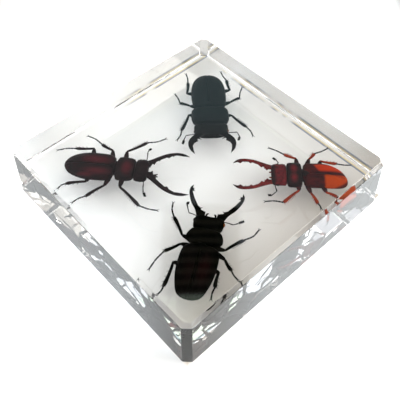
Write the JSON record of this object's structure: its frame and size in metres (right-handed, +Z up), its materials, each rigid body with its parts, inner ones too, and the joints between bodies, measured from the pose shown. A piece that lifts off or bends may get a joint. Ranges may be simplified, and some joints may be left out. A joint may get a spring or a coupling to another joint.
{
  "type": "insects in resin block",
  "caption": "Square clear resin paperweight with chamfered corners and bevelled edges, stag beetles cast inside, lying along the diagonals with their jaws toward the centre.",
  "frame": {"origin": "centre of the block's underside", "axes": "+Z up through the block's thickness; +X and +Y square to its sides"},
  "size_m": [0.1128, 0.1128, 0.027],
  "materials": {
    "clear_resin": "clear cast resin, polished",
    "black_shell": "black chitin, satin gloss",
    "red_brown_shell": "dark red-brown chitin, satin gloss",
    "orange_shell": "orange and red chitin with dark seams, satin gloss",
    "black_red_shell": "black chitin with a dark red sheen, satin gloss"
  },
  "bodies": {
    "root": {"resin_lower_half": "clear_resin", "resin_upper_half": "clear_resin", "beetle_black_broad": "black_shell", "beetle_red_brown": "red_brown_shell", "beetle_orange": "orange_shell", "beetle_black_long_jawed": "black_red_shell"}
  },
  "joints": []
}
